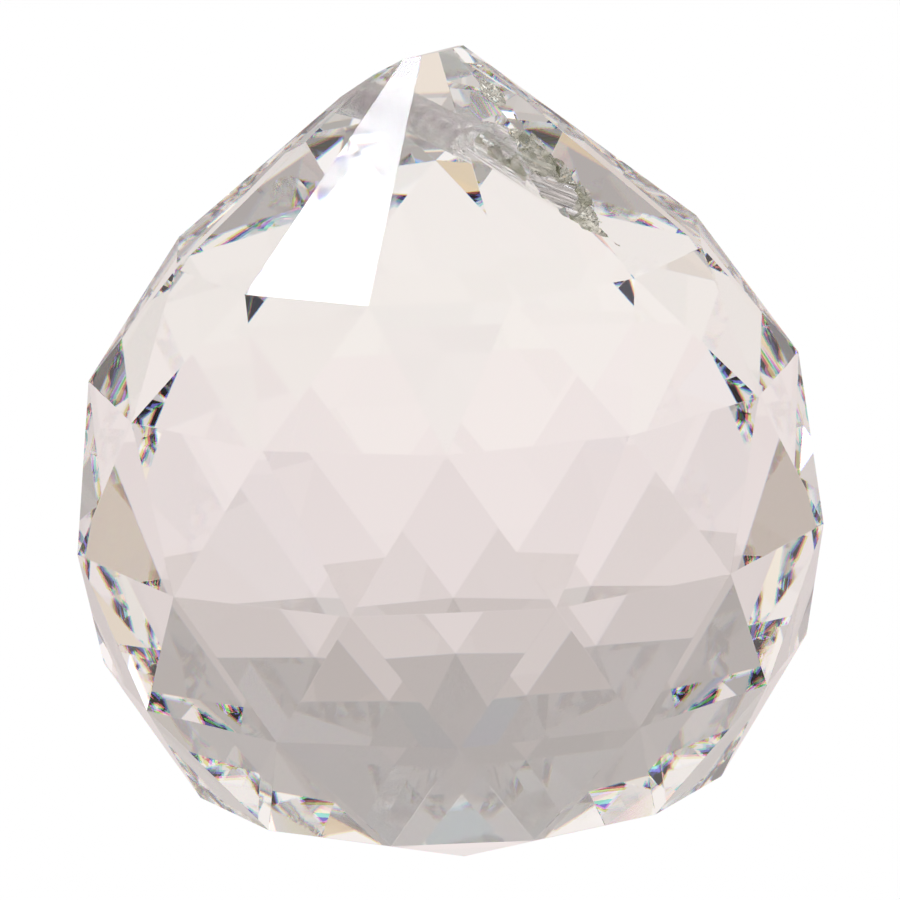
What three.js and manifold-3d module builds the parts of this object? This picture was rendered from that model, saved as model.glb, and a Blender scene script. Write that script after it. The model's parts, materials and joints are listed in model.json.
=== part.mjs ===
// A crystal suncatcher: one solid ball of clear glass, ground all over into flat facets.
// Twelve sides run round it. Rings of corners carry bands of triangles, twelve long facets run
// up into a point, and twelve shallow ones close the underside. A bore is drilled across just
// under the tip for a ring or a thread, and the glass has broken out round both of its mouths.
// Millimetres, +Z up. The origin is where the bore crosses the ball's upright axis, and the bore
// runs towards +X and a little down.

import * as THREE from "three";
import { ConvexGeometry } from "three/addons/geometries/ConvexGeometry.js";
import { mergeVertices } from "three/addons/utils/BufferGeometryUtils.js";
import Module from "manifold-3d";

// Driving dimensions. Heights are above the ball's centre.
const ballDiameter = 40; // across the corners of the widest ring
const sides = 12;
const ringLatitudes = [45.5, 22.4, -0.9, -22.6, -45.1]; // degrees, from the shoulder down
const pointHeight = 26; // where the twelve upper facets would meet
const undersideDepth = 19.1; // where the twelve lower facets meet

const boreDiameter = 2.2;
const boreHeight = 19.2; // where it crosses the upright axis
const boreTilt = 8.5; // degrees down towards +X
const boreSides = 24;

const tipHeight = 24.3; // where the axis leaves the ground tip
const tipTilt = 13.6; // degrees: the tip flat rises towards +X
const spallTilt = 29.5; // degrees: the rear spall falls away towards -X, down to the bore's mouth
const cutterSize = 20;

// A chip is a shallow scoop on the ridge that the bore comes out through. side says which
// ridge, out how far its middle lies from the upright axis, reach is its length along the ridge,
// width its breadth across it, and depth how deep it bites.
const frontChip = { side: 1, out: 7.4, reach: 7.4, width: 3.2, depth: 0.75 };
const rearChip = { side: -1, out: 6.6, reach: 4.2, width: 2.9, depth: 0.5 };
const chipDetail = 3;

const ballRadius = ballDiameter / 2;
const degrees = THREE.MathUtils.degToRad;

const wasm = await Module();
wasm.setup();

// A closed three.js geometry as a solid that can be cut.
function solidOf(geometry) {
  const bare = geometry.clone();
  bare.deleteAttribute("normal");
  bare.deleteAttribute("uv");
  const merged = mergeVertices(bare, 1e-4);
  return new wasm.Manifold(
    new wasm.Mesh({
      numProp: 3,
      vertProperties: Float32Array.from(merged.attributes.position.array),
      triVerts: Uint32Array.from(merged.index.array),
    }),
  );
}

// A cut solid as a three.js geometry with crisp facets.
function geometryOf(solid) {
  const mesh = solid.getMesh();
  const geometry = new THREE.BufferGeometry();
  geometry.setAttribute("position", new THREE.BufferAttribute(mesh.vertProperties, 3));
  geometry.setIndex(new THREE.BufferAttribute(mesh.triVerts, 1));
  const crisp = geometry.toNonIndexed();
  crisp.computeVertexNormals();
  return crisp;
}

// One ring of corners. Every other ring is turned by half a side, so the bands between rings
// become triangles.
function ringCorners(latitude, row) {
  const radius = ballRadius * Math.cos(degrees(latitude));
  const height = ballRadius * Math.sin(degrees(latitude));
  const step = (2 * Math.PI) / sides;
  const turn = row % 2 === 0 ? 0 : step / 2;
  return Array.from({ length: sides }, (_, side) => {
    const angle = turn + side * step;
    return new THREE.Vector3(radius * Math.cos(angle), radius * Math.sin(angle), height);
  });
}

// The whole cut ball before it is drilled: the smallest solid round all its corners.
function cutBall() {
  const corners = ringLatitudes.flatMap(ringCorners);
  corners.push(new THREE.Vector3(0, 0, pointHeight));
  corners.push(new THREE.Vector3(0, 0, -undersideDepth));
  return solidOf(new ConvexGeometry(corners));
}

// A block whose underside passes through the axis at tipHeight and rises towards +X.
function slopingCutter(tilt) {
  const block = new THREE.BoxGeometry(cutterSize, cutterSize, cutterSize);
  block.translate(0, 0, cutterSize / 2);
  block.rotateY(-degrees(tilt));
  block.translate(0, 0, tipHeight);
  return solidOf(block);
}

function boreCutter() {
  const drill = new THREE.CylinderGeometry(
    boreDiameter / 2,
    boreDiameter / 2,
    ballDiameter,
    boreSides,
  );
  drill.rotateZ(Math.PI / 2);
  drill.rotateY(degrees(boreTilt));
  drill.translate(0, 0, boreHeight);
  return solidOf(drill);
}

// The slope of an upper ridge, from the shoulder ring up to the point.
const shoulder = degrees(ringLatitudes[0]);
const shoulderRadius = ballRadius * Math.cos(shoulder);
const shoulderHeight = ballRadius * Math.sin(shoulder);
const ridgeSlope = Math.atan2(pointHeight - shoulderHeight, shoulderRadius);

function chipCutter({ side, out, reach, width, depth }) {
  const scoop = new THREE.IcosahedronGeometry(1, chipDetail);
  scoop.scale(reach / 2, width / 2, depth);
  scoop.rotateY(ridgeSlope);
  scoop.translate(out, 0, pointHeight - out * Math.tan(ridgeSlope));
  if (side < 0) {
    scoop.rotateZ(Math.PI);
  }
  return solidOf(scoop);
}

function crystalSolid() {
  return cutBall()
    .subtract(slopingCutter(tipTilt))
    .subtract(slopingCutter(spallTilt))
    .subtract(boreCutter())
    .subtract(chipCutter(frontChip))
    .subtract(chipCutter(rearChip))
    .translate([0, 0, -boreHeight]);
}

const clearCrystal = new THREE.MeshStandardMaterial({
  name: "clear_crystal",
  color: 0xeeeaea,
  roughness: 0.02,
  metalness: 0,
  transparent: true,
  opacity: 0.35,
});

const crystalBall = new THREE.Mesh(geometryOf(crystalSolid()), clearCrystal);
crystalBall.name = "crystal_ball";

const group = new THREE.Group();
group.name = "crystal_suncatcher";
group.add(crystalBall);

export default group;
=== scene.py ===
# %% [markdown]
# A crystal suncatcher is one solid ball of clear glass. A cutter grinds it all over into flat
# facets, runs the top up into a point and drills a bore across under the tip, where a ring or a
# thread goes through. This lesson dresses the measured solid as the real thing: crisp facets,
# a ground bore, and the breaks that years of hanging have left round both of its mouths.
# Everything here rides on one body, because the ball is one rigid piece.

import json
from math import atan2, cos, degrees, pi, radians, sin, tan

import bmesh
import bpy
from mathutils import Matrix, Vector, noise


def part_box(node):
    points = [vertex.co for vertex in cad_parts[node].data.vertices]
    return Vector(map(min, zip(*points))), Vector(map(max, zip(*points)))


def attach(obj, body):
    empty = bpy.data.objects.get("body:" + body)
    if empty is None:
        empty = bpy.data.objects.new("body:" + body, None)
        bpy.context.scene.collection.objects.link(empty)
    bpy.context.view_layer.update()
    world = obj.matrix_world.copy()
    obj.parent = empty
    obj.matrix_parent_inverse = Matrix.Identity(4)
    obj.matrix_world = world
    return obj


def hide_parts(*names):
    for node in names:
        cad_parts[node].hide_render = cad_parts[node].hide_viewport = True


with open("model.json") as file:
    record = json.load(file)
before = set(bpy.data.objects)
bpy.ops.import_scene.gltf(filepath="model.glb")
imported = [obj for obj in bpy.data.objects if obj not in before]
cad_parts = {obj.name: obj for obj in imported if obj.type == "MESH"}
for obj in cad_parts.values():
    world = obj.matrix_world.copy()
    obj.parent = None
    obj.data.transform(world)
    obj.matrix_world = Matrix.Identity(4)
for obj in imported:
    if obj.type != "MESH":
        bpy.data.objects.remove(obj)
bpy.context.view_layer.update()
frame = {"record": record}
low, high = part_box("crystal_ball")
print("solid ball, mm:", [round(1000 * (b - a), 2) for a, b in zip(low, high)])

# %% [markdown]
# The grinder's plan comes first, because every later step reads it. Twelve sides go round the
# ball. Five rings of corners lie on it, each given by its latitude, and each turned half a side
# from the one above, so the bands between them break into triangles. We work in millimetres, as
# the cutter does, and shrink the finished mesh to metres at the very end: Blender's hull and
# boolean tools also behave better on shapes that are some tens of units across.

# %% The cutter's plan
MM = 0.001
SIDES = 12
RING_LATITUDES = [45.5, 22.4, -0.9, -22.6, -45.1]
WIDEST_RING = 2

ball_radius = (high.x - low.x) / MM / 2 / cos(radians(RING_LATITUDES[WIDEST_RING]))
point_height = 1.3 * ball_radius
underside_depth = 0.955 * ball_radius
centre_height = low.z / MM + underside_depth

shoulder_radius = ball_radius * cos(radians(RING_LATITUDES[0]))
shoulder_height = ball_radius * sin(radians(RING_LATITUDES[0]))
ridge_slope = atan2(point_height - shoulder_height, shoulder_radius)
print(f"ball radius {ball_radius:.2f} mm, centre at {centre_height:.2f} mm, "
      f"ridges slope {degrees(ridge_slope):.1f} degrees")

# %% [markdown]
# The bore's place, direction and width are a mount of the measured solid, so they are read
# from its record and not typed again. It runs towards +X and a little down, and meets the two
# ridges that lie over the X axis. The origin of the whole part is where it crosses the axis.

# %% Read the bore from the record
mount = next(m for m in frame["record"]["mounts"] if m["name"] == "hanging_bore")
bore_axis = Vector(mount["axis"]).normalized()
bore_radius = mount["dims"]["r_mm"]
bore_tilt = atan2(-bore_axis.z, bore_axis.x)
print(f"bore radius {bore_radius:.2f} mm, tilted {degrees(bore_tilt):.1f} degrees")

# %% [markdown]
# Materials, the world and the ball itself are all made of nodes, so a few small helpers come
# first. One fills a socket, with a value or from another node. The others do a sum, map one span
# of numbers onto another, mix two colours and fill a colour ramp. Some nodes carry several
# sockets of one name, and only their identifiers tell those apart.

# %% Node helpers


def feed(tree, value, socket):
    """Links another node's socket to this one, or types a plain value into it."""
    if isinstance(value, bpy.types.NodeSocket):
        tree.links.new(value, socket)
    else:
        socket.default_value = value


def identified(sockets, identifier):
    return next(socket for socket in sockets if socket.identifier == identifier)


def math_node(tree, operation, *values):
    node = tree.nodes.new("ShaderNodeMath")
    node.operation = operation
    for value, socket in zip(values, node.inputs):
        feed(tree, value, socket)
    return node.outputs[0]


def map_span(tree, value, before, after=(0, 1), interpolation="LINEAR"):
    """Maps the value from one span onto another, and holds it inside that."""
    node = tree.nodes.new("ShaderNodeMapRange")
    node.interpolation_type = interpolation
    feed(tree, value, node.inputs["Value"])
    feed(tree, before[0], node.inputs["From Min"])
    feed(tree, before[1], node.inputs["From Max"])
    feed(tree, after[0], node.inputs["To Min"])
    feed(tree, after[1], node.inputs["To Max"])
    return node.outputs[0]


def mix_colours(tree, factor, first, second):
    """The first colour where the factor is 0, and the second where it is 1."""
    node = tree.nodes.new("ShaderNodeMix")
    node.data_type = "RGBA"
    feed(tree, factor, identified(node.inputs, "Factor_Float"))
    feed(tree, first, identified(node.inputs, "A_Color"))
    feed(tree, second, identified(node.inputs, "B_Color"))
    return identified(node.outputs, "Result_Color")


def fill_ramp(ramp, shades):
    """Gives a colour ramp these shades, each at its place between 0 and 1."""
    stops = ramp.color_ramp.elements
    stops.remove(stops[1])
    for number, (place, colour) in enumerate(shades):
        stop = stops.new(place) if number else stops[0]
        stop.position = place
        stop.color = (*colour, 1)


print("node helpers ready")

# %% [markdown]
# Cut crystal has no colour of its own to speak of. What we see is the room, bent by its flat
# windows, so the material is the plainest one that bends light rightly: full transmission, no
# roughness and the refractive index of crystal. The numbers sit on the shader's own sockets.

# %% Clear crystal
GLASS_INDEX = 1.535
POLISH = 0.0
CLEAR_TINT = (0.985, 0.98, 0.975)


def crystal_material(name, tint, roughness):
    material = bpy.data.materials.new(name)
    material.use_nodes = True
    shader = material.node_tree.nodes["Principled BSDF"]
    shader.inputs["Base Color"].default_value = (*tint, 1)
    shader.inputs["Transmission Weight"].default_value = 1
    shader.inputs["Roughness"].default_value = roughness
    shader.inputs["IOR"].default_value = GLASS_INDEX
    return material


clear_crystal = crystal_material("clear cut crystal", CLEAR_TINT, POLISH)
print("made", clear_crystal.name)

# %% [markdown]
# Crystal has fire: it bends blue a little more than red, so what we see through steep facets
# comes apart into colours. One shader bends every colour alike, and therefore the light is
# parted where it first enters: three clear glasses, one for each colour, with an index of their
# own. Together they are white, and none of them is pure, because daylight holds every shade in
# between. From there on every ray goes through the plain crystal, which keeps the noise low.

# %% Fire
FIRE = [
    # share of red, green and blue, and how far its index is off the glass's own
    ((0.66, 0.17, 0.17), -0.0032),
    ((0.17, 0.66, 0.17), 0.0),
    ((0.17, 0.17, 0.66), 0.0038),
]


def glass_of_one_colour(tree, tint, share, shift):
    glass = tree.nodes.new("ShaderNodeBsdfGlass")
    glass.inputs["Color"].default_value = (*[a * b for a, b in zip(tint, share)], 1)
    glass.inputs["Roughness"].default_value = POLISH
    glass.inputs["IOR"].default_value = GLASS_INDEX + shift
    return glass.outputs[0]


def added(tree, first, second):
    both = tree.nodes.new("ShaderNodeAddShader")
    tree.links.new(first, both.inputs[0])
    tree.links.new(second, both.inputs[1])
    return both.outputs[0]


def add_fire(material, tint):
    tree = material.node_tree
    red, green, blue = [glass_of_one_colour(tree, tint, *part) for part in FIRE]
    depth = tree.nodes.new("ShaderNodeLightPath").outputs["Ray Depth"]
    choose = tree.nodes.new("ShaderNodeMixShader")
    tree.links.new(math_node(tree, "GREATER_THAN", depth, 0.5), choose.inputs[0])
    tree.links.new(added(tree, added(tree, red, green), blue), choose.inputs[1])
    tree.links.new(tree.nodes["Principled BSDF"].outputs[0], choose.inputs[2])
    tree.links.new(choose.outputs[0], tree.nodes["Material Output"].inputs["Surface"])


add_fire(clear_crystal, CLEAR_TINT)
print("index from", GLASS_INDEX + FIRE[0][1], "to", GLASS_INDEX + FIRE[-1][1])

# %% [markdown]
# The bore is not polished. The drill leaves it ground and frosted, so light that reaches its
# wall is scattered: the same glass, with a rough surface. It is not evenly rough. Noise on the
# piece's own coordinates mottles the tint and the roughness, and raises a fine grain that breaks
# the scattering into sparks. Noise sizes are in metres here, because the finished mesh is.

# %% Ground bore wall
MOTTLE_DETAIL = 5
MOTTLE_EDGES = (0.40, 0.58)


def mottle(material, stain_and_shade, size, roughest, grain):
    """Varies a glass: darker and roughest where the noise is low, with bumps of the grain's height. The
    darker colour is a stain on the bore wall and painted shade on the breaks.
    """
    tree = material.node_tree
    shader = tree.nodes["Principled BSDF"]
    tint = tuple(shader.inputs["Base Color"].default_value)
    finish = shader.inputs["Roughness"].default_value
    cloud = tree.nodes.new("ShaderNodeTexNoise")
    cloud.inputs["Scale"].default_value = 1 / size
    cloud.inputs["Detail"].default_value = MOTTLE_DETAIL
    tree.links.new(tree.nodes.new("ShaderNodeTexCoord").outputs["Object"], cloud.inputs["Vector"])
    spread = map_span(tree, cloud.outputs["Fac"], MOTTLE_EDGES)
    feed(tree, mix_colours(tree, spread, (*stain_and_shade, 1), tint), shader.inputs["Base Color"])
    feed(tree, map_span(tree, spread, (0, 1), (roughest, finish)), shader.inputs["Roughness"])
    bump = tree.nodes.new("ShaderNodeBump")
    bump.inputs["Distance"].default_value = grain
    tree.links.new(cloud.outputs["Fac"], bump.inputs["Height"])
    tree.links.new(bump.outputs[0], shader.inputs["Normal"])


ground_crystal = crystal_material("ground bore wall", (0.90, 0.86, 0.87), 0.32)
mottle(ground_crystal, stain_and_shade=(0.58, 0.54, 0.56), size=0.0007, roughest=0.5, grain=0.0002)
print("made", ground_crystal.name)

# %% [markdown]
# Where the glass has broken, the faces are glossy again but dull a little. Their olive tint and
# its darker olive mottle are painted shade, which darkens the breaks. The lower wall near the mouth
# is neither ground nor broken: thread has wiped it smooth, so it gets a finish of its own.

# %% Broken glass
# Painted shade: the olive tint and the dark olive mottle darken the broken faces.
broken_crystal = crystal_material("broken crystal", (0.74, 0.74, 0.61), 0.05)
mottle(broken_crystal, stain_and_shade=(0.22, 0.23, 0.14), size=0.0010, roughest=0.2, grain=0.00001)
print("made", broken_crystal.name)

wiped_crystal = crystal_material("smooth bore wall", (0.93, 0.90, 0.90), 0.10)
print("made", wiped_crystal.name)

# %% [markdown]
# A ring of corners is a mesh circle whose radius and height follow from its latitude. It is
# used five times over, so it becomes a node group of its own with named inputs.

# %% A ring of corners as a node group


def new_socket(tree, name, kind, default=None, direction="INPUT"):
    socket = tree.interface.new_socket(name=name, in_out=direction, socket_type=kind)
    if default is not None:
        socket.default_value = default
    return socket


def ring_group():
    tree = bpy.data.node_groups.new("ring of corners", "GeometryNodeTree")
    new_socket(tree, "Ball radius", "NodeSocketFloat", ball_radius)
    new_socket(tree, "Sides", "NodeSocketInt", SIDES)
    new_socket(tree, "Latitude", "NodeSocketFloat", 0.0)
    new_socket(tree, "Half sides turned", "NodeSocketFloat", 0.0)
    new_socket(tree, "Corners", "NodeSocketGeometry", direction="OUTPUT")
    given = tree.nodes.new("NodeGroupInput").outputs
    latitude = math_node(tree, "RADIANS", given["Latitude"])
    radius = math_node(tree, "MULTIPLY", given["Ball radius"],
                       math_node(tree, "COSINE", latitude))
    height = math_node(tree, "MULTIPLY", given["Ball radius"],
                       math_node(tree, "SINE", latitude))
    half_side = math_node(tree, "DIVIDE", pi, given["Sides"])
    turn = math_node(tree, "MULTIPLY", half_side, given["Half sides turned"])

    circle = tree.nodes.new("GeometryNodeMeshCircle")
    place = tree.nodes.new("GeometryNodeTransform")
    lift = tree.nodes.new("ShaderNodeCombineXYZ")
    spin = tree.nodes.new("ShaderNodeCombineXYZ")
    result = tree.nodes.new("NodeGroupOutput")
    tree.links.new(given["Sides"], circle.inputs["Vertices"])
    tree.links.new(radius, circle.inputs["Radius"])
    tree.links.new(height, lift.inputs["Z"])
    tree.links.new(turn, spin.inputs["Z"])
    tree.links.new(circle.outputs["Mesh"], place.inputs["Geometry"])
    tree.links.new(lift.outputs[0], place.inputs["Translation"])
    tree.links.new(spin.outputs[0], place.inputs["Rotation"])
    tree.links.new(place.outputs["Geometry"], result.inputs["Corners"])
    return tree


ring_of_corners = ring_group()
print("ring group has", len(ring_of_corners.nodes), "nodes")

# %% [markdown]
# The cut ball is the tightest skin round all its corners: a convex hull. Five rings and two
# points on the axis go in, and the hull finds every facet, the long ones up to the point and
# the shallow ones underneath as well. Hand-listing the faces would be long and easy to get
# wrong. The tree's inputs are the plan's own sizes, so a ball of other proportions needs only
# other numbers.

# %% The cut ball as a tree


def cut_ball_tree():
    tree = bpy.data.node_groups.new("cut ball", "GeometryNodeTree")
    new_socket(tree, "Ball radius", "NodeSocketFloat", ball_radius)
    new_socket(tree, "Sides", "NodeSocketInt", SIDES)
    for row, latitude in enumerate(RING_LATITUDES):
        new_socket(tree, f"Latitude {row + 1}", "NodeSocketFloat", latitude)
    new_socket(tree, "Point height", "NodeSocketFloat", point_height)
    new_socket(tree, "Underside depth", "NodeSocketFloat", underside_depth)
    new_socket(tree, "Centre height", "NodeSocketFloat", centre_height)
    new_socket(tree, "Glass", "NodeSocketMaterial")
    new_socket(tree, "Cut ball", "NodeSocketGeometry", direction="OUTPUT")
    given = tree.nodes.new("NodeGroupInput").outputs
    corners = tree.nodes.new("GeometryNodeJoinGeometry")
    for row in range(len(RING_LATITUDES)):
        ring = tree.nodes.new("GeometryNodeGroup")
        ring.node_tree = ring_of_corners
        ring.inputs["Half sides turned"].default_value = row % 2
        tree.links.new(given["Ball radius"], ring.inputs["Ball radius"])
        tree.links.new(given["Sides"], ring.inputs["Sides"])
        tree.links.new(given[f"Latitude {row + 1}"], ring.inputs["Latitude"])
        tree.links.new(ring.outputs["Corners"], corners.inputs["Geometry"])

    drop = math_node(tree, "MULTIPLY",
                     math_node(tree, "ADD", given["Point height"], given["Underside depth"]), -1)
    poles = tree.nodes.new("GeometryNodeMeshLine")
    poles.inputs["Count"].default_value = 2
    top = tree.nodes.new("ShaderNodeCombineXYZ")
    step = tree.nodes.new("ShaderNodeCombineXYZ")
    tree.links.new(given["Point height"], top.inputs["Z"])
    tree.links.new(drop, step.inputs["Z"])
    tree.links.new(top.outputs[0], poles.inputs["Start Location"])
    tree.links.new(step.outputs[0], poles.inputs["Offset"])
    tree.links.new(poles.outputs["Mesh"], corners.inputs["Geometry"])

    hull = tree.nodes.new("GeometryNodeConvexHull")
    place = tree.nodes.new("GeometryNodeTransform")
    lift = tree.nodes.new("ShaderNodeCombineXYZ")
    whole = tree.nodes.new("GeometryNodeRealizeInstances")
    glaze = tree.nodes.new("GeometryNodeSetMaterial")
    result = tree.nodes.new("NodeGroupOutput")
    tree.links.new(corners.outputs["Geometry"], hull.inputs["Geometry"])
    tree.links.new(hull.outputs["Convex Hull"], place.inputs["Geometry"])
    tree.links.new(given["Centre height"], lift.inputs["Z"])
    tree.links.new(lift.outputs[0], place.inputs["Translation"])
    tree.links.new(place.outputs["Geometry"], whole.inputs["Geometry"])
    tree.links.new(whole.outputs["Geometry"], glaze.inputs["Geometry"])
    tree.links.new(given["Glass"], glaze.inputs["Material"])
    tree.links.new(glaze.outputs["Geometry"], result.inputs["Cut ball"])
    return tree


ball_tree = cut_ball_tree()
print("cut ball tree has", len(ball_tree.nodes), "nodes")

# %% [markdown]
# A modifier carries the tree. Its inputs are set by each socket's identifier before the object
# is first evaluated, and the result is then copied out as a plain mesh, so the cutting that
# follows works on ordinary faces.

# %% Grow the ball from the tree


def set_inputs(modifier, tree, values):
    for socket in tree.interface.items_tree:
        if socket.name in values:
            modifier[socket.identifier] = values[socket.name]


def bake(thing):
    """The object's evaluated mesh as its own plain mesh, with every modifier gone."""
    seen = thing.evaluated_get(bpy.context.evaluated_depsgraph_get())
    mesh = bpy.data.meshes.new_from_object(seen)
    thing.modifiers.clear()
    thing.data = mesh
    return thing


crystal = bpy.data.objects.new("cut_crystal", bpy.data.meshes.new("cut_crystal"))
bpy.context.collection.objects.link(crystal)
grow = crystal.modifiers.new("cut ball", "NODES")
grow.node_group = ball_tree
set_inputs(grow, ball_tree, {"Ball radius": ball_radius, "Sides": SIDES, "Glass": clear_crystal})
bake(crystal)
print("cut ball:", len(crystal.data.vertices), "corners,", len(crystal.data.polygons), "triangles")

# %% [markdown]
# No edge of a real facet is a perfect knife. Handling has worn about a hundredth of a millimetre
# off each, and that narrow band catches light of its own, which draws a fine line between
# facets. A Bevel modifier of one segment does this on the whole hull at once.

# %% Worn edges
WORN_EDGE = 0.012

wear = crystal.modifiers.new("worn edges", "BEVEL")
wear.width = WORN_EDGE
wear.segments = 1
wear.limit_method = "NONE"
bake(crystal)
print("with worn edges:", len(crystal.data.polygons), "faces")

# %% [markdown]
# All that follows takes glass away, as grinding, drilling and breaking do. Each cutter is a
# closed mesh, and the boolean modifier removes it. Its manifold solver is quick and leaves no
# open edges, but it isn't perfect: two crumbs, a few hundredths of a millimetre across at most,
# come loose in the front scar. The faces that a cutter leaves keep the cutter's own material, so
# a rough drill leaves a rough wall.

# %% A helper that cuts


def as_object(name, bm, *materials):
    bmesh.ops.recalc_face_normals(bm, faces=bm.faces)
    mesh = bpy.data.meshes.new(name)
    bm.to_mesh(mesh)
    bm.free()
    for material in materials:
        mesh.materials.append(material)
    thing = bpy.data.objects.new(name, mesh)
    bpy.context.collection.objects.link(thing)
    return thing


def cut(cutter):
    boolean = crystal.modifiers.new("cut", "BOOLEAN")
    boolean.operation = "DIFFERENCE"
    boolean.solver = "MANIFOLD"
    boolean.material_mode = "TRANSFER"
    boolean.object = cutter
    bake(crystal)
    bpy.data.objects.remove(cutter)


# %% [markdown]
# The very tip is ground off nearly flat, a little higher towards +X, and behind it the glass
# has split away in one clean plane that falls to the rear mouth of the bore. Both are simply
# the underside of a big tilted block.

# %% Tip flat and rear spall
TIP_HEIGHT = 1.215 * ball_radius
TIP_TILT = radians(13.6)
SPALL_TILT = radians(29.5)
BLOCK = ball_radius


def block_above(name, height, tilt):
    bm = bmesh.new()
    bmesh.ops.create_cube(bm, size=BLOCK)
    bmesh.ops.translate(bm, verts=bm.verts, vec=(0, 0, BLOCK / 2))
    bmesh.ops.rotate(bm, verts=bm.verts, matrix=Matrix.Rotation(-tilt, 3, "Y"))
    bmesh.ops.translate(bm, verts=bm.verts, vec=(0, 0, centre_height + height))
    return as_object(name, bm, clear_crystal)


cut(block_above("tip flat", TIP_HEIGHT, TIP_TILT))
cut(block_above("rear spall", TIP_HEIGHT, SPALL_TILT))
print("after the tip:", len(crystal.data.polygons), "faces")

# %% [markdown]
# Broken glass is not random crumble. A break starts at one point and runs out in curved,
# shell-like plates that step down from one to the next. A cell pattern gives exactly that: each
# cell gets a small tilt and a small drop of its own, so a smooth surface turns into flat shards
# with sharp steps between them. The same helper serves the bore and every chip. A shard's lean
# and its step are drawn from two far-off parts of the noise, so that neither follows the other.

# %% A helper that breaks a surface into shards
LEAN_DRAW = 37.0
STEP_DRAW = 53.0


def shard_height(spot, size, tilt, drop):
    """How far a broken surface stands off a smooth one at this spot, in millimetres."""
    nearest = noise.voronoi(spot / size)[1][0]
    lean = noise.cell_vector(nearest * LEAN_DRAW) * 2 - Vector((1, 1, 1))
    step = noise.cell(nearest * STEP_DRAW)
    return tilt * size * lean.dot(spot / size - nearest) + drop * step


print("a shard step, mm:", round(shard_height(Vector((1, 2, 3)), 0.8, 0.3, 0.2), 3))

# %% [markdown]
# The drill is a cylinder of fine rings whose wall wanders in and out by a few hundredths of a
# millimetre. That real unevenness, more than any bump map, makes the wall glitter through the
# facets. Towards the front mouth the ground wall ends. Its lower half runs out smooth, but its
# upper half has burst, so there the wall swells into glossy shards, most of all straight up.

# %% Drill the bore
BORE_AROUND = 84
BORE_RINGS = 380
BORE_LENGTH = 20.0
BORE_GRAIN = 0.024
BORE_GRAIN_SIZE = 0.24
FINER_GRAIN = 2.3
BURST_START = 2.4
BURST_FULL = 3.8
BURST_HEIGHT = 0.7
BURST_SHARD = 1.25
BURST_TILT = 0.75
BURST_STEP = 0.45
BURST_FROM = 0.1
GROUND_END_SWING = 0.7
GROUND_END_WAVE = 0.6
GROUND, BROKEN, SMOOTH_WALL = 0, 1, 2


def bore_place(along, angle, radius):
    across = Vector((0, 1, 0))
    above = bore_axis.cross(across)
    return bore_axis * along + across * (radius * cos(angle)) + above * (radius * sin(angle))


def wall_radius(along, angle):
    """The bore's radius at one spot: ground and grainy, then smooth below and burst above."""
    spot = bore_place(along, angle, bore_radius)
    begun = min(1.0, max(0.0, (along - BURST_START) / (BURST_FULL - BURST_START)))
    coarse = noise.noise(spot / BORE_GRAIN_SIZE)
    fine = noise.noise(spot / BORE_GRAIN_SIZE * FINER_GRAIN)
    upwards = max(0.0, sin(angle))
    shards = max(0.0, shard_height(spot, BURST_SHARD, BURST_TILT, BURST_STEP))
    burst = upwards ** 0.5 * (BURST_HEIGHT * upwards + shards)
    return bore_radius + (1 - begun) * BORE_GRAIN * (coarse + 0.5 * fine) + begun * burst


def wall_finish(along, angle):
    """Which finish the wall has there. The ground wall ends along a wavering line."""
    spot = bore_place(along, angle, bore_radius)
    if along < BURST_START + GROUND_END_SWING * noise.noise(spot / GROUND_END_WAVE):
        return GROUND
    return BROKEN if sin(angle) > BURST_FROM else SMOOTH_WALL


def rough_drill():
    bm = bmesh.new()
    steps = [BORE_LENGTH * (row / (BORE_RINGS - 1) - 0.5) for row in range(BORE_RINGS)]
    angles = [2 * pi * column / BORE_AROUND for column in range(BORE_AROUND)]
    rings = [[bm.verts.new(bore_place(along, angle, wall_radius(along, angle))) for angle in angles]
             for along in steps]
    for along, near, far in zip(steps, rings, rings[1:]):
        for column, angle in enumerate(angles):
            after = (column + 1) % BORE_AROUND
            face = bm.faces.new((near[column], near[after], far[after], far[column]))
            face.material_index = wall_finish(along, angle)
    bm.faces.new(rings[0])
    bm.faces.new(rings[-1])
    return as_object("rough drill", bm, ground_crystal, broken_crystal, wiped_crystal)


cut(rough_drill())
print("after the bore:", len(crystal.data.polygons), "faces")

# %% [markdown]
# Where the bore comes out, thread and ring have knocked the ridge away in a long shallow
# scar. The cutter for it is a slab that lies along the ridge: flat on top, and underneath a
# bowl broken into shards. Outside its outline the bowl climbs clear of the glass, so the scar
# gets the ragged edge that the shards give it. Smaller shards on top of the big ones are the
# hackle, which a break shows where it ran fast. Above the scar a single plate has sprung off,
# and it is the same cutter with a smooth bowl.

# %% Chips along the ridges
SLAB_TOP = 3.0
SLAB_LEAST = 0.5
SLAB_MARGIN = 1.35
CHIP_GRID = 0.06
CHIP_STRETCH = 0.85
CHIP_STEP = 0.35
SIDES_APART = 10
OUTLINE_WAVE = 1.1
HACKLE_SIZE = 0.4
HACKLE_STEP = 0.1
HACKLE_HEIGHT = 0.5


def ridge_place(side, out, along, across, proud):
    """A spot by an upper ridge: along it downhill, across it, and proud of it."""
    downhill = Vector((cos(ridge_slope), 0, -sin(ridge_slope)))
    outward = Vector((sin(ridge_slope), 0, cos(ridge_slope)))
    start = Vector((out, 0, centre_height + point_height - out * tan(ridge_slope)))
    spot = start + downhill * along + outward * proud
    return Vector((side * spot.x, side * across, spot.z))


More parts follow.
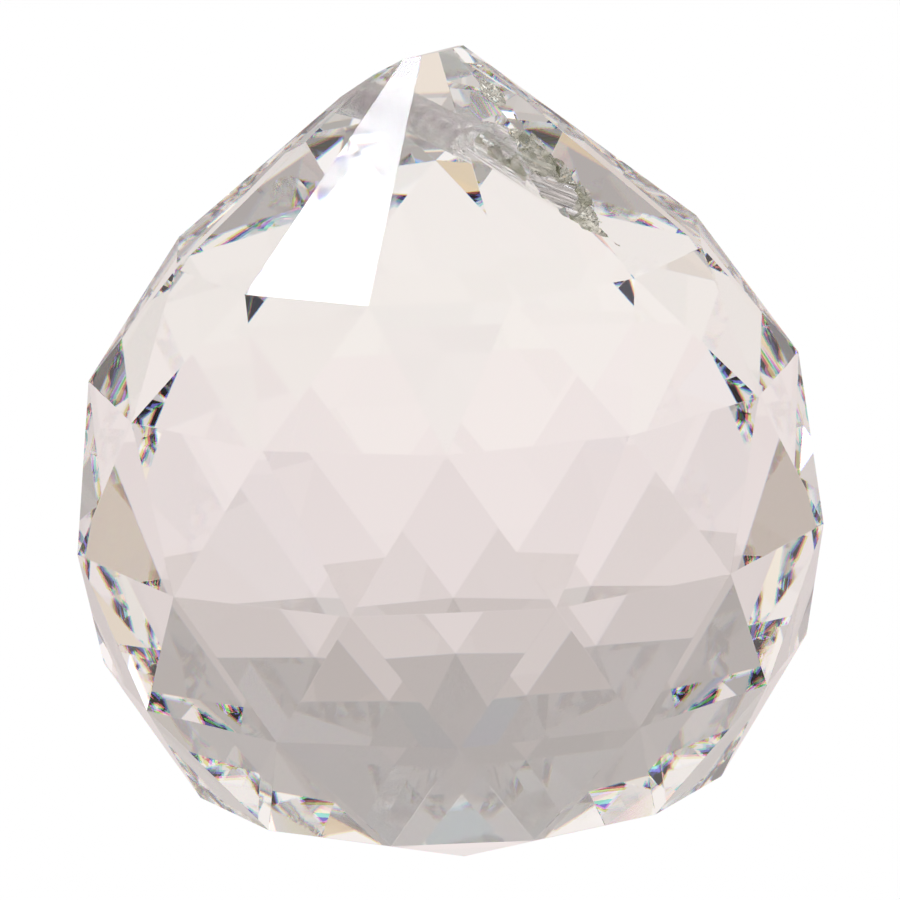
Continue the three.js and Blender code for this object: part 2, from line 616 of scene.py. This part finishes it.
def chip_floor(along, across, chip):
    """How proud of the ridge the chip's floor is."""
    shift = SIDES_APART * chip["side"]
    spot = Vector((CHIP_STRETCH * along + shift, across + chip["across"], chip["out"]))
    wander = chip["ragged"] * noise.noise(spot / OUTLINE_WAVE)
    edge = (along / (chip["reach"] / 2)) ** 2 + (across / (chip["width"] / 2)) ** 2 + wander
    tilt = chip["tilt"]
    shards = shard_height(spot, chip["shard"], tilt, tilt * CHIP_STEP)
    hackle = shard_height(spot, chip["shard"] * HACKLE_SIZE, tilt, tilt * HACKLE_STEP)
    broken = chip["depth"] * (edge - 1) + shards + HACKLE_HEIGHT * hackle
    return min(broken, SLAB_TOP - SLAB_LEAST)


def chip_cutter(name, **chip):
    columns = int(chip["reach"] * SLAB_MARGIN / CHIP_GRID)
    rows = int(chip["width"] * SLAB_MARGIN / CHIP_GRID)
    bm = bmesh.new()
    floors, roofs = [], []
    for column in range(columns + 1):
        along = chip["reach"] * SLAB_MARGIN * (column / columns - 0.5)
        floor, roof = [], []
        for row in range(rows + 1):
            across = chip["width"] * SLAB_MARGIN * (row / rows - 0.5)
            place = (chip["side"], chip["out"], along, across + chip["across"])
            floor.append(bm.verts.new(ridge_place(*place, chip_floor(along, across, chip))))
            roof.append(bm.verts.new(ridge_place(*place, SLAB_TOP)))
        floors.append(floor)
        roofs.append(roof)
    for sheet in (floors, roofs):
        for near, far in zip(sheet, sheet[1:]):
            for row in range(rows):
                bm.faces.new((near[row], near[row + 1], far[row + 1], far[row]))
    rim = [(0, row) for row in range(rows)]
    rim += [(column, rows) for column in range(columns)]
    rim += [(columns, row) for row in range(rows, 0, -1)]
    rim += [(column, 0) for column in range(columns, 0, -1)]
    for (c0, r0), (c1, r1) in zip(rim, rim[1:] + rim[:1]):
        bm.faces.new((floors[c0][r0], floors[c1][r1], roofs[c1][r1], roofs[c0][r0]))
    return as_object(name, bm, broken_crystal)


cut(chip_cutter("upper plate", side=1, out=4.1, across=0.6, reach=2.2, width=1.7, depth=0.35,
                ragged=0.12, shard=1.6, tilt=0.1))
cut(chip_cutter("front scar", side=1, out=8.8, across=0.35, reach=7.8, width=2.7, depth=0.75,
                ragged=0.3, shard=0.6, tilt=0.7))
cut(chip_cutter("rear scar", side=-1, out=6.6, across=0.0, reach=4.2, width=2.9, depth=0.5,
                ragged=0.3, shard=0.6, tilt=0.8))
print("after the chips:", len(crystal.data.polygons), "faces")

# %% [markdown]
# The cutting is done, so the mesh shrinks to metres and takes the measured solid's place. The
# polished facets and the breaks stay flat-shaded: a facet that is smoothed at its edges stops
# looking like cut glass. Only the drilled wall is round, so its faces are shaded smooth.

# %% Hand the crystal over
crystal.data.transform(Matrix.Scale(MM, 4))
drilled = [slot for slot, glass in enumerate(crystal.data.materials)
           if glass in (ground_crystal, wiped_crystal)]
for face in crystal.data.polygons:
    face.use_smooth = face.material_index in drilled
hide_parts("crystal_ball")
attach(crystal, "root")
print("cut crystal:", len(crystal.data.polygons), "faces in all")

# %% [markdown]
# The camera stands a little above the ball's middle, turned half way between the bore's
# mouths and the sides, and leans slightly. It is far off with a long lens, so the ball hardly
# shows perspective and the pattern of facets reads true.

# %% Camera
VIEW_TURN = radians(45.1)
VIEW_RISE = radians(14.95)
VIEW_LEAN = radians(2.39)
VIEW_DISTANCE = 22.5 * ball_radius * MM
VIEW_WIDTH = 2.353 * ball_radius * MM
VIEW_SHIFT = (0.0007, 0.0639)


def heading(turn, rise):
    """The direction that lies turn round from straight behind the crystal, seen from the camera."""
    away = VIEW_TURN + pi / 2 - turn
    return Vector((cos(away) * cos(rise), sin(away) * cos(rise), sin(rise)))


to_camera = heading(pi, VIEW_RISE)
ball_centre = Vector((0, 0, centre_height * MM))
lens = bpy.data.cameras.new("studio camera")
camera = bpy.data.objects.new("studio camera", lens)
bpy.context.collection.objects.link(camera)
camera.location = ball_centre + to_camera * VIEW_DISTANCE
upright = to_camera.to_track_quat("Z", "Y").to_matrix()
camera.rotation_euler = (upright @ Matrix.Rotation(-VIEW_LEAN, 3, "Z")).to_euler()
lens.sensor_width = 36
lens.lens = lens.sensor_width * VIEW_DISTANCE / VIEW_WIDTH
lens.shift_x, lens.shift_y = VIEW_SHIFT
lens.clip_start = 0.01
bpy.context.scene.camera = camera
print("camera", round(VIEW_DISTANCE * 1000), "mm away, lens", round(lens.lens), "mm")

# %% [markdown]
# Clear glass shows nothing but what is round it, so the light is half of the likeness. The
# crystal hangs in a soft white tent that is brightest below, falls to grey at eye level and
# for some way above it, and is paler again overhead. A world shader makes the tent: its colour
# follows the height of the direction that a ray leaves in. Stops are named by that height in
# degrees.

# %% The tent's shades
TENT = [
    (-90, (0.70, 0.70, 0.70)),
    (-66, (0.95, 0.90, 0.88)),
    (-50, (0.95, 0.905, 0.88)),
    (-35, (0.925, 0.88, 0.85)),
    (-25, (0.91, 0.835, 0.825)),
    (-15, (0.83, 0.75, 0.75)),
    (-5, (0.71, 0.64, 0.63)),
    (3, (0.54, 0.485, 0.47)),
    (10, (0.45, 0.415, 0.405)),
    (20, (0.455, 0.42, 0.41)),
    (39, (0.47, 0.44, 0.43)),
    (43, (0.88, 0.79, 0.78)),
    (60, (0.75, 0.73, 0.72)),
    (90, (0.75, 0.72, 0.71)),
]

world = bpy.data.worlds.new("studio tent")
bpy.context.scene.world = world
world.use_nodes = True
sky = world.node_tree
sky.nodes.clear()
direction = sky.nodes.new("ShaderNodeTexCoord").outputs["Generated"]
split = sky.nodes.new("ShaderNodeSeparateXYZ")
sky.links.new(direction, split.inputs[0])
shades = sky.nodes.new("ShaderNodeValToRGB")
sky.links.new(math_node(sky, "MULTIPLY_ADD", split.outputs["Z"], 0.5, 0.5), shades.inputs[0])
fill_ramp(shades, [((sin(radians(rise)) + 1) / 2, colour) for rise, colour in TENT])
print("tent with", len(TENT), "shades")

# %% [markdown]
# Behind the camera lies the rest of the room: windows, walls and furniture, light and dark side
# by side. The middle of the ball never shows it, but the steep facets round the rim do, and it
# gives them their contrast. A soft cell pattern stands in for it, with a shade for each cell.

# %% The room behind the camera
ROOM_CELLS = 3.4
ROOM_SOFTNESS = 0.35
ROOM_NEAR = 74
ROOM_FAR = 83
WINDOW_RISE = 5
ROOM_SHADES = [
    (0.00, (0.16, 0.16, 0.155)),
    (0.25, (0.30, 0.295, 0.265)),
    (0.42, (0.55, 0.52, 0.50)),
    (0.60, (0.88, 0.83, 0.80)),
    (0.80, (1.10, 1.08, 1.08)),
    (1.00, (0.90, 0.76, 0.58)),
]


def facing(turn, rise):
    """How nearly a ray leaves in this direction: the cosine of the angle between them."""
    match = sky.nodes.new("ShaderNodeVectorMath")
    match.operation = "DOT_PRODUCT"
    feed(sky, direction, match.inputs[0])
    feed(sky, heading(radians(turn), radians(rise)), match.inputs[1])
    return match.outputs["Value"]


def room_behind(shade):
    """Lays the room over the tent, outside a wide round window that lies behind the crystal."""
    cells = sky.nodes.new("ShaderNodeTexVoronoi")
    cells.feature = "SMOOTH_F1"
    cells.inputs["Scale"].default_value = ROOM_CELLS
    cells.inputs["Smoothness"].default_value = ROOM_SOFTNESS
    sky.links.new(direction, cells.inputs["Vector"])
    room = sky.nodes.new("ShaderNodeValToRGB")
    fill_ramp(room, ROOM_SHADES)
    sky.links.new(cells.outputs["Color"], room.inputs[0])
    edges = [cos(radians(ROOM_FAR)), cos(radians(ROOM_NEAR))]
    window = map_span(sky, facing(0, WINDOW_RISE), edges, interpolation="SMOOTHSTEP")
    return mix_colours(sky, window, room.outputs[0], shade)


shade = room_behind(shades.outputs[0])
print("room beyond", ROOM_FAR, "degrees")

# %% [markdown]
# Cards hang in the tent, in places that matter: a softbox high on the left, whose mirror image
# whitens one long facet, dark cards about the camera, which draw the dark corners, and warm, grey
# and white ones for the plates that show them. The edges of most cards are spread, red a little
# wider than blue, just as a prism would spread them.

# %% Cards in the tent
CARD_SPREAD = (1.0, 0.55, 0.1)
LEAST_RADIUS = 0.1


def hang_card(shade, turn, rise, radius, colour, fire, soft):
    """Lays a round card over the shade. Angles are in degrees, fire is how far red outruns blue."""
    edges = [radius + fire * spread for spread in CARD_SPREAD]
    cover = sky.nodes.new("ShaderNodeMapRange")
    cover.data_type = "FLOAT_VECTOR"
    cover.interpolation_type = "SMOOTHSTEP"
    feed(sky, facing(turn, rise), cover.inputs["Vector"])
    outside = identified(cover.inputs, "From_Min_FLOAT3")
    outside.default_value = [cos(radians(edge + soft)) for edge in edges]
    inside = identified(cover.inputs, "From_Max_FLOAT3")
    inside.default_value = [cos(radians(max(LEAST_RADIUS, edge - soft))) for edge in edges]
    over = sky.nodes.new("ShaderNodeMix")
    over.data_type = "VECTOR"
    over.factor_mode = "NON_UNIFORM"
    feed(sky, cover.outputs["Vector"], identified(over.inputs, "Factor_Vector"))
    feed(sky, shade, identified(over.inputs, "A_Vector"))
    feed(sky, colour, identified(over.inputs, "B_Vector"))
    return identified(over.outputs, "Result_Vector")


CARDS = [
    # turn, rise, radius, colour, fire, soft
    (-147, 24, 6, (0.85, 0.80, 0.78), 1, 2),
    (147, 24, 5, (0.74, 0.64, 0.52), 1, 2),
    (-128, -2, 8, (0.80, 0.78, 0.76), 1, 2),
    (127, -9, 8, (0.90, 0.82, 0.70), 1, 2),
    (151, 1, 6, (0.07, 0.07, 0.07), 1, 1.5),
    (-151, 1, 6, (0.14, 0.14, 0.15), 1, 1.5),
    (-122, 21, 9, (0.34, 0.33, 0.31), 1, 2),
    (141, -21, 6, (0.36, 0.37, 0.46), 1, 2),
    (-103, -16, 5, (0.95, 0.72, 0.42), 1, 2),
    (-112, -70, 6, (0.20, 0.21, 0.25), 1, 2),
    (112, -70, 6, (0.38, 0.36, 0.29), 1, 2),
    (161, -71, 5, (0.33, 0.32, 0.28), 1, 1),
    (-54, -53, 6, (0.86, 0.78, 0.72), 1, 2),
    (120, -35, 12, (0.95, 0.90, 0.92), 1, 3),
    (-112, 3, 6, (0.88, 0.83, 0.82), 1, 2),
    (-140, -21, 6, (0.60, 0.55, 0.52), 1, 2),
    (60.5, -3, 5, (0.50, 0.40, 0.31), 0, 4),
    (-60.7, -3, 5, (0.52, 0.44, 0.39), 0, 4),
    (156, 43, 5, (1.4, 1.4, 1.45), 1, 1),
    (129, 16, 2.2, (2.4, 2.4, 2.7), 1, 1),
    (-163, -26, 7, (0.72, 0.58, 0.40), 2, 2),
    (-160, -3, 5, (0.92, 0.77, 0.66), 1, 2),
    (-167, -80, 8, (0.28, 0.26, 0.26), 1, 2),
    (180, 28, 3, (0.86, 0.75, 0.66), 1, 1),
    (180, 34.5, 2.4, (0.64, 0.65, 0.66), 1, 1),
    (180, 41.5, 2.2, (0.88, 0.79, 0.70), 0.5, 0.7),
    (-176.2, 37.4, 1.9, (0.03, 0.035, 0.05), 1.2, 0.7),
    (176.8, 37.4, 1.9, (0.03, 0.035, 0.05), 1.2, 0.7),
    (173, 46, 2, (0.05, 0.05, 0.05), 1, 0.8),
    (-161, 60, 8, (0.12, 0.11, 0.09), 1, 2),
    (161, 60, 8, (0.14, 0.13, 0.11), 1, 2),
    (-76, 60, 6.5, (1.1, 1.1, 1.15), 0, 1),
]
for card in CARDS:
    shade = hang_card(shade, *card)

print("hung", len(CARDS), "cards")

# %% [markdown]
# The softbox is really far brighter than that. Its full strength matters only where the outer
# face mirrors it. Seen through the glass it would be a burning spark in every steep facet, so
# rays that have been inside get the dimmed card above, and only the others get the full one.

# %% The softbox at full strength
SOFTBOX = (-76, 60, 6.5, (10.0, 10.3, 11.0), 0, 1)

been_inside = sky.nodes.new("ShaderNodeLightPath").outputs["Transmission Depth"]
outer = math_node(sky, "LESS_THAN", been_inside, 0.5)
tent = sky.nodes.new("ShaderNodeBackground")
feed(sky, mix_colours(sky, outer, shade, hang_card(shade, *SOFTBOX)), tent.inputs["Color"])
print("softbox", max(SOFTBOX[3]), "times as bright as paper")

# %% [markdown]
# The camera itself sees plain white behind the crystal. A light path node tells camera rays
# from all others, and picks the white for them. Light that is still caught in the crystal after
# so many faces has lost itself, and it is left dark: those are the deep accents in the corners.

# %% White backdrop
MOST_BOUNCES = 16
BRIGHTEST_SPARK = 8

backdrop = sky.nodes.new("ShaderNodeBackground")
backdrop.inputs["Color"].default_value = (1, 1, 1, 1)
path = sky.nodes.new("ShaderNodeLightPath")
choose = sky.nodes.new("ShaderNodeMixShader")
outlet = sky.nodes.new("ShaderNodeOutputWorld")
sky.links.new(path.outputs["Is Camera Ray"], choose.inputs[0])
sky.links.new(tent.outputs[0], choose.inputs[1])
sky.links.new(backdrop.outputs[0], choose.inputs[2])
sky.links.new(choose.outputs[0], outlet.inputs[0])

scene = bpy.context.scene
scene.view_settings.view_transform = "Standard"
scene.cycles.max_bounces = MOST_BOUNCES
scene.cycles.transmission_bounces = MOST_BOUNCES
scene.cycles.glossy_bounces = MOST_BOUNCES
scene.cycles.use_denoising = True
scene.cycles.denoising_input_passes = "RGB"
scene.cycles.sample_clamp_indirect = BRIGHTEST_SPARK
print("white backdrop")

# %% [markdown]
# A pale floor lies well below the hung crystal. From the front it shows only through the lowest
# facets. Towards its rim it thins out to nothing, so it has no edge when we look down on it.

# %% Floor
FLOOR_DROP = 0.6
FLOOR_RADIUS = 0.3
FADE_START = 0.3
FLOOR_TINT = (0.74, 0.81, 0.84)


def floor_material():
    material = bpy.data.materials.new("pale floor")
    material.use_nodes = True
    tree = material.node_tree
    shader = tree.nodes["Principled BSDF"]
    shader.inputs["Base Color"].default_value = (*FLOOR_TINT, 1)
    shader.inputs["Roughness"].default_value = 0.9
    place = tree.nodes.new("ShaderNodeSeparateXYZ")
    tree.links.new(tree.nodes.new("ShaderNodeTexCoord").outputs["Object"], place.inputs[0])
    x, y = place.outputs["X"], place.outputs["Y"]
    squares = math_node(tree, "MULTIPLY_ADD", x, x, math_node(tree, "MULTIPLY", y, y))
    out = math_node(tree, "SQRT", squares)
    fade = map_span(tree, out, (FADE_START * FLOOR_RADIUS, FLOOR_RADIUS), (1, 0), "SMOOTHSTEP")
    tree.links.new(fade, shader.inputs["Alpha"])
    return material


def pale_floor():
    bm = bmesh.new()
    bmesh.ops.create_circle(bm, cap_ends=True, segments=96, radius=FLOOR_RADIUS)
    bmesh.ops.translate(bm, verts=bm.verts, vec=(0, 0, -FLOOR_DROP))
    mesh = bpy.data.meshes.new("pale floor")
    bm.to_mesh(mesh)
    bm.free()
    mesh.materials.append(floor_material())
    floor = bpy.data.objects.new("pale floor", mesh)
    bpy.context.collection.objects.link(floor)
    return floor


pale_floor()
print("floor", FLOOR_DROP, "m below the bore")
